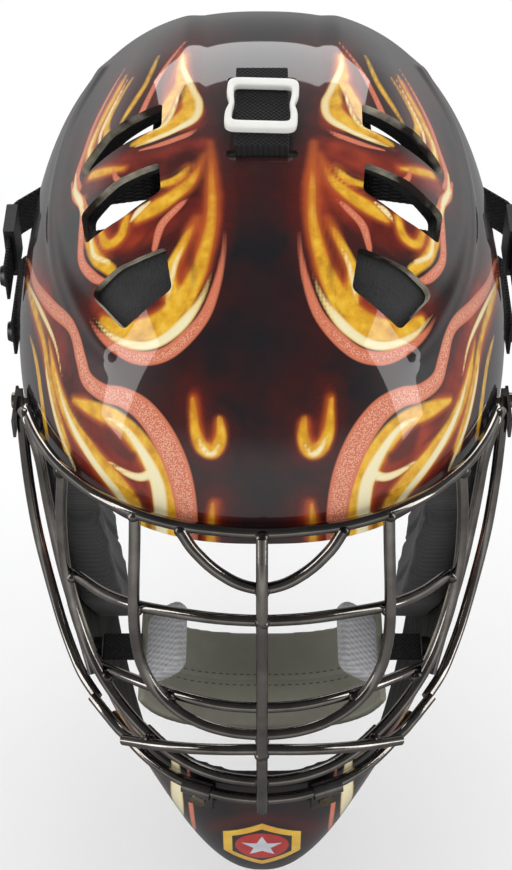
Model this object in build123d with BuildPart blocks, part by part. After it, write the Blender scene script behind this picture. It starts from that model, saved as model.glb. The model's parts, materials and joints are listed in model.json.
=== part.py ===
"""Goalie mask: shell, wire cage, padding and harness, worn upright with the face towards -Y.

Millimetres, +Z up, +X the wearer's left. The origin lies under the middle of the mask, 6.4 mm below
the chin's lowest edge. The two lace holes in the chin are invented: the photo shows none there.
"""
from build123d import *
from math import cos, radians, sin, tan
import os

os.makedirs("parts", exist_ok=True)

# ---------------------------------------------------------------- driving dimensions
SHELL_THICKNESS = 3.5
WIRE_RADIUS = 2.4
STRAP_WIDTH = 22.0
STRAP_THICKNESS = 1.8
LINER_THICKNESS = 8.0
BROW_PAD_THICKNESS = 12.0
JAW_PAD_THICKNESS = 20.0
SOFT_GAP = 0.4
PLATE_THICKNESS = 3.0

# The shell is a fan of arches about a level line behind the ears. Each row holds the arch's angle
# above the horizon in degrees, its reach forward, its half width and its squareness.
FAN_Y, FAN_Z = 95.0, 130.0
ARCHES = [
    (-34, 262, 66, 2.2),
    (-26, 256, 80, 2.25),
    (-14, 240, 102, 2.3),
    (0, 223, 109, 2.35),
    (12, 217, 111, 2.5),
    (24, 217, 112.5, 2.6),
    (36, 219, 114, 2.65),
    (48, 212, 115, 2.65),
    (60, 199, 115, 2.6),
    (76, 184, 114.5, 2.55),
    (92, 176.5, 114, 2.5),
    (108, 174, 113, 2.5),
]
LEG_TURN = 82.0
TURN_STEPS = 20


def arch_value(angle, column):
    """One column of ARCHES at any angle, on a smooth curve through the rows."""
    last = len(ARCHES) - 1
    row = next((i for i in range(last) if angle <= ARCHES[i + 1][0]), last - 1)

    def slope(i):
        low, high = max(i - 1, 0), min(i + 1, last)
        return (ARCHES[high][column] - ARCHES[low][column]) / (ARCHES[high][0] - ARCHES[low][0])

    span = ARCHES[row + 1][0] - ARCHES[row][0]
    s = (angle - ARCHES[row][0]) / span
    start, end = ARCHES[row][column], ARCHES[row + 1][column]
    return (
        (2 * s**3 - 3 * s**2 + 1) * start
        + (s**3 - 2 * s**2 + s) * span * slope(row)
        + (3 * s**2 - 2 * s**3) * end
        + (s**3 - s**2) * span * slope(row + 1)
    )


def shell_point(angle, turn, inset=0.0):
    """Point on the shell: angle picks the arch, turn goes across it from right to left."""
    squareness = arch_value(angle, 3)
    side, ahead = sin(radians(turn)), cos(radians(turn))
    size = (abs(side) ** squareness + abs(ahead) ** squareness) ** (-1 / squareness)
    x = (arch_value(angle, 2) - inset) * size * side
    reach = (arch_value(angle, 1) - inset) * size * ahead
    return (x, FAN_Y - reach * cos(radians(angle)), FAN_Z + reach * sin(radians(angle)))


def frange(start, stop, steps):
    """Evenly spaced values from start to stop, both included."""
    return [start + (stop - start) * i / steps for i in range(steps + 1)]


def arch_plane(angle):
    """Plane of one arch: local x runs to +X and local y reaches forward."""
    lean = radians(angle)
    return Plane(origin=(0, FAN_Y, FAN_Z), x_dir=(1, 0, 0), z_dir=(0, -sin(lean), -cos(lean)))


def arch_section(angle, inset):
    """Closed section through the fan at one arch."""
    plane = arch_plane(angle)
    points = [
        plane.to_local_coords(Vector(*shell_point(angle, turn, inset)))
        for turn in frange(-LEG_TURN, LEG_TURN, TURN_STEPS)
    ]
    with BuildSketch(plane) as section:
        with BuildLine():
            arch = Spline(*[(point.X, point.Y) for point in points])
            Line(arch @ 1, arch @ 0)
        make_face()
    return section.sketch


def fan_form(inset):
    """Solid filled form of the mask, inset from the shell's outer face."""
    with BuildPart() as form:
        loft(sections=[arch_section(row[0], inset) for row in ARCHES])
    return form.part


def write(part, node):
    """Label one finished piece and write it as its own node."""
    part.label = node
    export_step(part, f"parts/{node}.step")


# ---------------------------------------------------------------- outlines in the side view (Y, Z)
CHIN_EDGE = [(-134, -6), (-124, 20), (-110, 33), (-88, 45), (-40, 68), (10, 92), (40, 110)]
REAR_EDGE = [(52, 124), (64, 155), (84, 200), (108, 250), (133, 300), (140, 314)]
FACE_TOP = [(-170, 209), (-107, 209), (-62, 206), (-38, 203)]
FACE_SIDE = [(-26, 190), (-27, 172), (-33, 152), (-46, 128), (-64, 108), (-88, 94), (-110, 87)]
FACE_FRONT_Z = 86.0
FACE_CORNER = 12.0
FAR = 400.0

with BuildSketch(Plane.YZ) as side_outline:
    with BuildLine():
        lower = Spline(*CHIN_EDGE)
        rear = Spline(*REAR_EDGE)
        Line(lower @ 1, rear @ 0)
        Polyline(rear @ 1, (140, FAR), (-FAR, FAR), (-FAR, -6), lower @ 0)
    make_face()

with BuildSketch(Plane.YZ) as face_outline:
    with BuildLine():
        top = Polyline(*FACE_TOP)
        side = Spline(*FACE_SIDE)
        Line(top @ 1, side @ 0)
        Polyline(side @ 1, (-125, FACE_FRONT_Z), (-170, FACE_FRONT_Z), (-170, 209))
    make_face()

# ---------------------------------------------------------------- vents
# Each vent is cut square to the shell: its plane leans sideways by VENT_LEAN and forwards by its
# own pitch, and its corners are measured on that plane from the vent's middle.
VENT_LEAN = 33.0
VENTS = [
    {
        "at": (57, 46, 295),
        "pitch": 0.0,
        "corners": [(-17, 11), (-17, -5), (0, -7), (24, -11), (24, -2), (10, 8)],
    },
    {
        "at": (57, 8, 291),
        "pitch": 12.0,
        "corners": [(-18, 11), (-18, -5), (0, -11), (20, -13), (22, 5), (2, 11)],
    },
    {
        "at": (52, -34, 283),
        "pitch": 28.0,
        "corners": [(-17, 9), (-16, -10), (8, -18), (19, 2), (18, 5), (5, 9)],
    },
]
VENT_CORNER = 2.5
VENT_DEPTH = 40.0


def vent_plane(vent, hand):
    """Plane square to the shell at a vent; hand is 1 on the left and -1 on the right."""
    lean, pitch = radians(VENT_LEAN), radians(vent["pitch"])
    across = Vector(hand * cos(lean), 0, -sin(lean))
    out = Vector(hand * sin(lean) * cos(pitch), -sin(pitch), cos(lean) * cos(pitch))
    x, y, z = vent["at"]
    return Plane(origin=(hand * x, y, z), x_dir=across, z_dir=out)


def vent_outline(vent, hand, grow=0.0):
    """One vent's outline on its own plane, grow wider on every side."""
    with BuildSketch(vent_plane(vent, hand)) as outline:
        Polygon(*[(x, hand * y) for x, y in vent["corners"]], align=None)
        fillet(outline.vertices(), VENT_CORNER)
        if grow:
            offset(amount=grow)
    return outline.sketch


# ---------------------------------------------------------------- shell
SLOT_YS = (68.0, 20.0)
SLOT_LENGTH, SLOT_WIDTH = 29.0, 4.5
CROWN_Z = 300.0
CLIP_X, CLIP_Y, CLIP_Z = 28.0, -136.7, 81.3
CLIP_TURN = 20.0
CLIP_SHEET = 1.3
CLIP_SCREW_DROP = 9.5
TAB_DEPTH = -1.9
SCREW_RADIUS, SCREW_LENGTH = 1.6, 9.6
SCREW_HEAD_RADIUS, SCREW_HEAD_HEIGHT = 3.4, 1.7
HOLE_RADIUS = 1.8
SIDE_CLIP_X, SIDE_CLIP_Y, SIDE_CLIP_Z = 107.0, -23.0, 192.0
SIDE_CLIP_BACK = 14.0
RIVET_AT = (47.5, -117.5, 73.0)
LACE_HOLE_X, LACE_HOLE_Z, LACE_HOLE_RADIUS = 14.0, 24.0, 2.75
LACE_HOLE_START_Y = -100.0

shell_form = fan_form(0.0)
cavity_form = fan_form(SHELL_THICKNESS)


def hook_plane(hand):
    """Cross-section plane of a chin clip: local x points out of the chin and local y points up."""
    turn = radians(CLIP_TURN) * hand
    return Plane(
        origin=(hand * CLIP_X, CLIP_Y, CLIP_Z),
        x_dir=(sin(turn), -cos(turn), 0),
        z_dir=(-cos(turn), -sin(turn), 0),
    )


def screw_plane(hand):
    """Seat of a chin clip's screw on the clip's tab; local z points out."""
    frame = hook_plane(hand)
    seat = frame.from_local_coords(Vector(TAB_DEPTH + CLIP_SHEET, -CLIP_SCREW_DROP, 0))
    return Plane(origin=seat, z_dir=frame.x_dir)


def side_screw_plane(hand):
    """Seat of a side clip's screw; local z points out."""
    at = (hand * (SIDE_CLIP_X + CLIP_SHEET), SIDE_CLIP_Y + SIDE_CLIP_BACK, SIDE_CLIP_Z)
    return Plane(origin=at, z_dir=(hand, 0, 0))


screw_seats = [seat(hand) for hand in (1, -1) for seat in (screw_plane, side_screw_plane)]

with BuildPart() as mask_shell:
    add(shell_form)
    extrude(side_outline.sketch, amount=FAR, both=True, mode=Mode.INTERSECT)
    add(cavity_form, mode=Mode.SUBTRACT)
    extrude(face_outline.sketch, amount=FAR, both=True, mode=Mode.SUBTRACT)
    for hand in (1, -1):
        for vent in VENTS:
            extrude(vent_outline(vent, hand), amount=VENT_DEPTH, both=True, mode=Mode.SUBTRACT)
    for slot_y in SLOT_YS:
        with Locations((0, slot_y, CROWN_Z)):
            Box(SLOT_LENGTH, SLOT_WIDTH, VENT_DEPTH, mode=Mode.SUBTRACT)
    for seat in screw_seats:
        with BuildSketch(seat):
            Circle(HOLE_RADIUS)
        extrude(amount=-SCREW_LENGTH - 6, mode=Mode.SUBTRACT)
    for hand in (1, -1):
        with BuildSketch(Plane.XZ.offset(-LACE_HOLE_START_Y)):
            with Locations((hand * LACE_HOLE_X, LACE_HOLE_Z)):
                Circle(LACE_HOLE_RADIUS)
        extrude(amount=FAR, mode=Mode.SUBTRACT)
write(mask_shell.part, "mask_shell")


# ---------------------------------------------------------------- foam lining
def lining(region, near, thickness):
    """Layer of foam against the shell's inside, near below its outer face, inside a side outline."""
    with BuildPart() as layer:
        add(fan_form(near))
        extrude(region, amount=FAR, both=True, mode=Mode.INTERSECT)
        add(fan_form(near + thickness), mode=Mode.SUBTRACT)
    return layer.part


def side_region(*corners):
    """Outline in the side view (Y, Z)."""
    with BuildSketch(Plane.YZ) as region:
        Polygon(*corners, align=None)
    return region.sketch


def keep_side(part, hand, middle):
    """The half of a part on one side of the mask, beyond middle from the symmetry plane."""
    with BuildPart() as half:
        add(part)
        with Locations((hand * (middle + FAR / 2), 0, FAR / 2)):
            Box(FAR, FAR * 2, FAR * 2, mode=Mode.INTERSECT)
    return half.part


FOAM_NEAR = SHELL_THICKNESS + SOFT_GAP
VENT_FOAM_GAP = 1.5
OPEN_VENTS = VENTS[:2]
SLOT_CLEAR_WIDTH, SLOT_CLEAR_LENGTH = 70.0, 34.0

crown_region = side_region((-120, 246), (86, 246), (86, 300), (96, 330), (-120, 330))
crown_layer = lining(crown_region, FOAM_NEAR, LINER_THICKNESS)
with BuildPart() as crown_liner:
    add(crown_layer)
    for hand in (1, -1):
        for vent in OPEN_VENTS:
            extrude(
                vent_outline(vent, hand, VENT_FOAM_GAP), amount=VENT_DEPTH, both=True, mode=Mode.SUBTRACT
            )
    with Locations((0, sum(SLOT_YS) / 2 + 12, CROWN_Z)):
        Box(SLOT_CLEAR_LENGTH, SLOT_CLEAR_WIDTH + 24, VENT_DEPTH * 2, mode=Mode.SUBTRACT)
write(crown_liner.part, "crown_liner")

brow_region = side_region((-140, 212), (-44, 212), (-44, 244), (-140, 244))
brow_layer = lining(brow_region, FOAM_NEAR, BROW_PAD_THICKNESS)
write(brow_layer, "brow_pad")

SWEATBAND_THICKNESS = 2.0
sweatband_layer = lining(
    side_region((-140, 214), (-52, 214), (-52, 240), (-140, 240)),
    FOAM_NEAR + BROW_PAD_THICKNESS + SOFT_GAP,
    SWEATBAND_THICKNESS,
)
write(sweatband_layer, "sweatband")

NUT_POCKET_RADIUS = 7.0
CHIN_LINER_THICKNESS, CHIN_LINER_WIDTH = 6.0, 104.0
chin_region = side_region((-150, 32), (-62, 72), (-66, 96), (-92, 84), (-150, 80))
chin_layer = lining(chin_region, FOAM_NEAR, CHIN_LINER_THICKNESS)
with BuildPart() as chin_liner:
    add(chin_layer)
    with Locations((0, 0, 100)):
        Box(CHIN_LINER_WIDTH, FAR * 2, 200, mode=Mode.INTERSECT)
    for hand in (1, -1):
        with BuildSketch(screw_plane(hand)):
            Circle(NUT_POCKET_RADIUS)
        extrude(amount=-20, mode=Mode.SUBTRACT)
write(chin_liner.part, "chin_liner")

temple_region = side_region((-36, 210), (60, 210), (74, 243), (-36, 243))
temple_layer = lining(temple_region, FOAM_NEAR, LINER_THICKNESS)
jaw_layer = lining(
    side_region((-18, 182), (26, 182), (30, 128), (8, 104), (-42, 80), (-49, 104), (-38, 124), (-25, 152)),
    FOAM_NEAR,
    JAW_PAD_THICKNESS,
)
JAW_INNER_X = 50.0
for hand, name in ((1, "left"), (-1, "right")):
    write(keep_side(temple_layer, hand, JAW_INNER_X), f"temple_liner_{name}")
    write(keep_side(jaw_layer, hand, JAW_INNER_X), f"jaw_pad_{name}")

# ---------------------------------------------------------------- cage
# Half routes from the middle plane, or from the front end, outwards; mirrored where they cross it.
TOP_BAR = [
    (0, -109, 217), (32, -105.5, 218), (52, -98, 218), (67.5, -86.5, 216), (84, -67, 212),
    (94.5, -46.5, 207.5), (101.5, -27, 204),
]
BROW_ARCH = [
    (0, -119, 195), (10, -117.5, 197), (20, -114.5, 203), (28, -110.5, 211), (32, -107, 217),
]
CENTER_BAR = [
    (0, -112, 218), (0, -122, 203), (0, -130, 180), (0, -137, 155), (0, -143, 128), (0, -146.5, 104),
    (0, -147.5, 80),
]
INNER_LOOP = [
    (0, -139, 124), (13, -138, 124.5), (25, -135.5, 126.5), (36, -130.5, 130), (45, -125, 137),
    (50.5, -120.5, 149), (52.5, -116.5, 166), (52, -111, 185), (51, -104, 204), (50.5, -98.5, 217),
]
OUTER_LOOP = [
    (0, -143.5, 96), (15, -142, 96.5), (29, -138, 98.5), (42, -131, 102.5), (54, -121.5, 108.5),
    (66, -109.5, 116.5), (75, -98, 128), (81, -88, 146), (84, -79.5, 168), (84, -73, 190),
    (82, -68, 210),
]
UPPER_CROSSBAR = [
    (0, -126, 184), (18, -124, 183), (36, -118, 179.5), (52, -110.5, 174.5), (66, -99, 168),
    (80, -81, 160),
]
LOWER_CROSSBAR = [
    (0, -134.5, 137), (16, -133, 136.5), (31, -127.5, 134.5), (46, -119, 130.5), (60, -108.5, 125),
    (71, -99, 119),
]
FRONT_CROSSBAR = [
    (0, -142, 118), (17, -141.5, 117), (33, -138, 113), (47, -131.5, 106.5), (60, -124, 99),
]
CHIN_RIM = [
    (0, -142.5, 80.5), (18, -140.5, 81), (34.5, -134, 81.5), (48, -124.5, 82), (58.5, -113.5, 83.5),
    (67, -101.5, 86.5),
]
SIDE_LOOP = [
    (74, -92, 86), (82, -80, 88), (90, -63.5, 98), (96.5, -47.5, 113.5), (102, -34, 134),
    (104.3, -26, 160), (104.5, -23, 185), (103.5, -24, 201), (100.5, -33, 207), (95.5, -40, 190),
    (93.5, -45, 162), (89, -56, 134), (81.5, -72, 112), (75.5, -87, 97),
]
LINK = [
    (75.5, -96, 92), (68, -106, 91), (61, -116, 92), (53, -124, 96),
]
ARC_SHARE = 0.45


def bent_path(points):
    """Straight runs joined by the largest arcs that the runs leave room for."""
    vectors = [Vector(*point) for point in points]
    radii = []
    for before, at, after in zip(vectors, vectors[1:], vectors[2:]):
        turn = radians((at - before).get_angle(after - at))
        radii.append(ARC_SHARE * min((at - before).length, (after - at).length) / tan(turn / 2))
    with BuildLine() as path:
        FilletPolyline(*vectors, radius=radii)
    return path.line


def wire(points):
    """Round wire along a bent path."""
    path = bent_path(points)
    with BuildPart() as rod:
        with BuildSketch(Plane(origin=path @ 0, z_dir=path % 0)):
            Circle(WIRE_RADIUS)
        sweep(path=path)
    return rod.part


def mirrored(half):
    """Full route across the middle plane from a half route that starts on it."""
    return [(-x, y, z) for x, y, z in reversed(half[1:])] + half


for name, half in (
    ("cage_top_bar", TOP_BAR),
    ("cage_brow_arch", BROW_ARCH),
    ("cage_inner_loop", INNER_LOOP),
    ("cage_outer_loop", OUTER_LOOP),
    ("cage_upper_crossbar", UPPER_CROSSBAR),
    ("cage_lower_crossbar", LOWER_CROSSBAR),
    ("cage_front_crossbar", FRONT_CROSSBAR),
    ("cage_chin_rim", CHIN_RIM),
):
    write(wire(mirrored(half)), name)
write(wire(CENTER_BAR), "cage_center_bar")
for hand, name in ((1, "left"), (-1, "right")):
    write(wire([(hand * x, y, z) for x, y, z in SIDE_LOOP]), f"cage_side_loop_{name}")
    write(wire([(hand * x, y, z) for x, y, z in LINK]), f"cage_link_{name}")

# ---------------------------------------------------------------- cage fasteners
CLIP_WIDTH = 13.0
CLIP_TAB = 15.0
HOOK_INNER = WIRE_RADIUS + 0.2
HOOK_OUTER = HOOK_INNER + CLIP_SHEET
SIDE_CLIP_HEIGHT, SIDE_CLIP_LENGTH = 10.0, 22.0
SIDE_LEG = 5.0
LEG_HEIGHT = 1.0
NUT_RADIUS, NUT_HEIGHT = 5.0, 1.5
CHIN_NUT_DEPTH, SIDE_NUT_DEPTH = 7.8, 9.8


def chin_clip(hand):
    """Sheet hook that grips the chin wire, with a tab for its screw."""
    with BuildPart() as clip:
        with BuildSketch(hook_plane(hand)):
            Circle(HOOK_OUTER)
            with Locations((TAB_DEPTH + CLIP_SHEET / 2, -CLIP_TAB / 2)):
                Rectangle(CLIP_SHEET, CLIP_TAB)
            with Locations((TAB_DEPTH - FAR / 2, 0)):
                Rectangle(FAR, FAR, mode=Mode.SUBTRACT)
            Circle(HOOK_INNER, mode=Mode.SUBTRACT)
        extrude(amount=CLIP_WIDTH / 2, both=True)
        with BuildSketch(screw_plane(hand)):
            Circle(HOLE_RADIUS)
        extrude(amount=-5, mode=Mode.SUBTRACT)
    return clip.part


def side_clip(hand):
    """Saddle plate over the side loop's rear rod, with a leg that stands on the shell."""
    middle_y = SIDE_CLIP_Y + SIDE_CLIP_LENGTH / 2 - HOOK_OUTER
    leg_y = SIDE_CLIP_Y + SIDE_CLIP_BACK
    with BuildPart() as clip:
        with Locations((hand * (SIDE_CLIP_X + CLIP_SHEET / 2), middle_y, SIDE_CLIP_Z)):
            Box(CLIP_SHEET, SIDE_CLIP_LENGTH, SIDE_CLIP_HEIGHT)
        with Locations((hand * (SIDE_CLIP_X - LEG_HEIGHT), leg_y, SIDE_CLIP_Z)):
            Box(2 * LEG_HEIGHT, SIDE_LEG, SIDE_CLIP_HEIGHT)
        with BuildSketch(side_screw_plane(hand)):
            Circle(HOLE_RADIUS)
        extrude(amount=-5, mode=Mode.SUBTRACT)
    return clip.part


for hand, name in ((1, "left"), (-1, "right")):
    write(chin_clip(hand), f"chin_clip_{name}")
    write(side_clip(hand), f"side_clip_{name}")

with BuildPart() as clip_screws:
    for seat in screw_seats:
        with BuildSketch(seat):
            Circle(SCREW_HEAD_RADIUS)
        extrude(amount=SCREW_HEAD_HEIGHT)
        with BuildSketch(seat):
            Circle(SCREW_RADIUS)
        extrude(amount=-SCREW_LENGTH)
write(clip_screws.part, "clip_screws")

with BuildPart() as clip_nuts:
    for seat, depth in zip(screw_seats, (CHIN_NUT_DEPTH, SIDE_NUT_DEPTH) * 2):
        with BuildSketch(seat.offset(-depth - NUT_HEIGHT)):
            Circle(NUT_RADIUS)
            Circle(HOLE_RADIUS, mode=Mode.SUBTRACT)
        extrude(amount=NUT_HEIGHT)
write(clip_nuts.part, "clip_nuts")

# ---------------------------------------------------------------- crown strap and its buckle
BUCKLE_WIDTH, BUCKLE_LENGTH, BUCKLE_THICKNESS = 30.0, 35.0, 3.2
BUCKLE_WINDOW = 24.5
BUCKLE_CORNER = 3.5
BUCKLE_Y, BUCKLE_Z = 41.0, 312.2
STRAP_LIFT = 1.0
CROWN_TOP_ANGLES = (67.0, 82.5)
CROWN_UNDER_ANGLES = (79.0, 95.0)
DROP_TOP_Z, DROP_BOTTOM_Z = 309.4, 300.0


def crown_ribbon(angles, low, high):
    """Strap along the crown between two depths below the shell's outer face."""
    with BuildPart() as ribbon:
        with BuildSketch(Plane.YZ):
            with BuildLine():
                under = Spline(*[shell_point(angle, 0, low)[1:] for angle in frange(*angles, 4)])
                over = Spline(*[shell_point(angle, 0, high)[1:] for angle in frange(*angles, 4)])
                Line(under @ 0, over @ 0)
                Line(under @ 1, over @ 1)
            make_face()
        extrude(amount=STRAP_WIDTH / 2, both=True)
    return ribbon.part


strap_top = -STRAP_LIFT - STRAP_THICKNESS
under_near = SHELL_THICKNESS + STRAP_LIFT
with BuildPart() as crown_strap:
    add(crown_ribbon(CROWN_TOP_ANGLES, -STRAP_LIFT, strap_top))
    add(crown_ribbon(CROWN_UNDER_ANGLES, under_near + STRAP_THICKNESS, under_near))
    for slot_y in SLOT_YS:
        with Locations((0, slot_y, (DROP_TOP_Z + DROP_BOTTOM_Z) / 2)):
            Box(STRAP_WIDTH, STRAP_THICKNESS, DROP_TOP_Z - DROP_BOTTOM_Z)
write(crown_strap.part, "crown_strap")

with BuildPart() as crown_buckle:
    with BuildSketch(Plane.XY.offset(BUCKLE_Z)):
        with Locations((0, BUCKLE_Y)):
            RectangleRounded(BUCKLE_WIDTH, BUCKLE_LENGTH, BUCKLE_CORNER)
            RectangleRounded(BUCKLE_WINDOW, BUCKLE_WINDOW, BUCKLE_CORNER / 2, mode=Mode.SUBTRACT)
    extrude(amount=BUCKLE_THICKNESS)
    fillet(crown_buckle.edges().filter_by(Plane.XY).group_by(Axis.Z)[-1], 1.0)
write(crown_buckle.part, "crown_buckle")

# ---------------------------------------------------------------- chin sling
CUP_FRONT_Y, CUP_BACK_Y = -98.0, -44.0
CUP_SHEET = 3.2
CUP_LINE = [(-54, 92), (-44, 79), (-24, 71.5), (0, 70), (24, 71.5), (44, 79), (54, 92)]
CUP_PAD_CENTER = (43.5, -68.0, 95.5)
CUP_PAD_SIZE = (5.0, 38.0, 20.0)
CUP_PAD_LEAN = 38.0

with BuildPart() as chin_cup:
    with BuildSketch(Plane.XZ.offset(-CUP_BACK_Y)):
        with BuildLine():
            Spline(*CUP_LINE)
        trace(line_width=CUP_SHEET)
    extrude(amount=CUP_BACK_Y - CUP_FRONT_Y)
write(chin_cup.part, "chin_cup")

for hand, name in ((1, "left"), (-1, "right")):
    x, y, z = CUP_PAD_CENTER
    pad_plane = Plane(Location((hand * x, y, z), (0, hand * CUP_PAD_LEAN, 0)))
    with BuildPart() as cup_pad:
        with BuildSketch(pad_plane):
            RectangleRounded(CUP_PAD_SIZE[2], CUP_PAD_SIZE[1], 5.0)
        extrude(amount=CUP_PAD_SIZE[0] / 2, both=True)
    write(cup_pad.part, f"chin_cup_pad_{name}")

CHIN_STRAP_X = (54.5, 72.4)
CHIN_STRAP_Y, CHIN_STRAP_Z = -70.0, 94.6
CHIN_STRAP_WIDTH, CHIN_STRAP_SHEET = 15.0, 1.4
CHIN_SNAP_X = (72.6, 76.2)
CHIN_SNAP_RADIUS = 4.5
for hand, name in ((1, "left"), (-1, "right")):
    with BuildPart() as chin_strap:
        with Locations((hand * sum(CHIN_STRAP_X) / 2, CHIN_STRAP_Y, CHIN_STRAP_Z)):
            Box(CHIN_STRAP_X[1] - CHIN_STRAP_X[0], CHIN_STRAP_WIDTH, CHIN_STRAP_SHEET)
    write(chin_strap.part, f"chin_strap_{name}")

with BuildPart() as chin_snaps:
    for hand in (1, -1):
        seat = (hand * CHIN_SNAP_X[0], CHIN_STRAP_Y, CHIN_STRAP_Z)
        with BuildSketch(Plane(origin=seat, z_dir=(hand, 0, 0))):
            Circle(CHIN_SNAP_RADIUS)
        extrude(amount=CHIN_SNAP_X[1] - CHIN_SNAP_X[0])
write(chin_snaps.part, "chin_snaps")

# ---------------------------------------------------------------- back plate
BACK_FORM = [(104, 62, 66, 58), (150, 80, 78, 58), (200, 88, 84, 58), (250, 82, 80, 58), (288, 62, 66, 58)]
BACK_OUTLINE = [
    (-36, 128),
    (36, 128),
    (50, 168),
    (54, 205),
    (51, 245),
    (38, 281),
    (-38, 281),
    (-51, 245),
    (-54, 205),
    (-50, 168),
]
PAD_OUTLINE_SCALE = 0.88
PAD_GAP, PAD_THICKNESS = 0.4, 11.0


def back_form(inset):
    """Solid bowl behind the head, inset from the back plate's outer face."""
    with BuildPart() as bowl:
        for z, half_width, reach, middle_y in BACK_FORM:
            with BuildSketch(Plane.XY.offset(z)):
                with Locations((0, middle_y)):
                    Ellipse(half_width - inset, reach - inset)
        loft()
    return bowl.part


def back_layer(near, thickness, scale_by):
    """Layer of the bowl inside the back plate's outline."""
    middle_z = (BACK_OUTLINE[0][1] + BACK_OUTLINE[5][1]) / 2
    outline = [(x * scale_by, middle_z + (z - middle_z) * scale_by) for x, z in BACK_OUTLINE]
    with BuildPart() as layer:
        add(back_form(near))
        add(back_form(near + thickness), mode=Mode.SUBTRACT)
        with BuildSketch(Plane.XZ.offset(-60)) as window:
            Polygon(*outline, align=None)
            fillet(window.vertices(), 10)
        extrude(amount=-FAR, mode=Mode.INTERSECT)
    return layer.part


write(back_layer(0.0, PLATE_THICKNESS, 1.0), "back_plate")
write(back_layer(PLATE_THICKNESS + PAD_GAP, PAD_THICKNESS, PAD_OUTLINE_SCALE), "back_pad")

PLATE_STRAP_PATH = [(117, 291), (127, 289.5), (136, 278), (140.5, 258)]
PLATE_STRAP_BEND = 6.0
with BuildPart() as plate_strap:
    with BuildSketch(Plane.YZ):
        with BuildLine():
            FilletPolyline(*PLATE_STRAP_PATH, radius=PLATE_STRAP_BEND)
        trace(line_width=STRAP_THICKNESS)
    extrude(amount=STRAP_WIDTH / 2, both=True)
write(plate_strap.part, "plate_strap")

# ---------------------------------------------------------------- harness straps
SIDE_STRAP_PATH = [(117.5, 56), (117.5, 102), (102, 118), (74, 126), (46, 132)]
SIDE_STRAP_Z, LOWER_STRAP_Z = 203.0, 168.0
SIDE_STRAP_THICKNESS = 1.6
SIDE_STRAP_WIDTH = 20.0
SIDE_BEND = 7.0
SLIDER_Y = 87.0
SLIDER_SIZE = (5.2, 20.0, 27.0)
SNAP_Y = 61.5
SNAP_RADIUS, SNAP_HEIGHT = 5.5, 2.4


def side_strap(hand, z):
    """Elastic strap from beside the ear, round the shell's edge to the back plate."""
    with BuildPart() as strap:
        with BuildSketch(Plane.XY.offset(z)):
            with BuildLine():
                FilletPolyline(*[(hand * x, y) for x, y in SIDE_STRAP_PATH], radius=SIDE_BEND)
            trace(line_width=SIDE_STRAP_THICKNESS)
        extrude(amount=SIDE_STRAP_WIDTH / 2, both=True)
    return strap.part


def strap_slider(hand):
    """Plastic loop that grips the upper side strap."""
    x = SIDE_STRAP_PATH[0][0]
    with BuildPart() as slider:
        with Locations((hand * x, SLIDER_Y, SIDE_STRAP_Z)):
            Box(*SLIDER_SIZE)
            Box(SIDE_STRAP_THICKNESS + 0.8, FAR, SIDE_STRAP_WIDTH + 0.8, mode=Mode.SUBTRACT)
        fillet(slider.edges().filter_by(Axis.Z).group_by(Axis.X)[-1 if hand > 0 else 0], 0.8)
    return slider.part


for hand, name in ((1, "left"), (-1, "right")):
    write(side_strap(hand, SIDE_STRAP_Z), f"side_strap_{name}")
    write(side_strap(hand, LOWER_STRAP_Z), f"lower_strap_{name}")
    write(strap_slider(hand), f"strap_slider_{name}")

with BuildPart() as strap_snaps:
    for hand in (1, -1):
        for z in (SIDE_STRAP_Z, LOWER_STRAP_Z):
            seat = (hand * (SIDE_STRAP_PATH[0][0] + SIDE_STRAP_THICKNESS / 2), SNAP_Y, z)
            with BuildSketch(Plane(origin=seat, z_dir=(hand, 0, 0))):
                Circle(SNAP_RADIUS)
            extrude(amount=SNAP_HEIGHT, taper=25)
write(strap_snaps.part, "strap_snaps")

RIVET_RADIUS, RIVET_HEIGHT = 2.6, 1.6
RIVET_OUT = (0.62, -0.78, 0.0)
with BuildPart() as chin_rivets:
    for hand in (1, -1):
        x, y, z = RIVET_AT
        out = (hand * RIVET_OUT[0], RIVET_OUT[1], RIVET_OUT[2])
        with BuildSketch(Plane(origin=(hand * x, y, z), z_dir=out)):
            Circle(RIVET_RADIUS)
        extrude(amount=RIVET_HEIGHT, taper=20)
write(chin_rivets.part, "chin_rivets")
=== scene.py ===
"""Goalie mask in Blender: painted shell, wire cage, foam, webbing and harness around the CAD frame."""
import json
import math
import random

import bmesh
import bpy
import numpy as np
from mathutils import Matrix, Vector
from mathutils.bvhtree import BVHTree
from mathutils.geometry import interpolate_bezier


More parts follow.
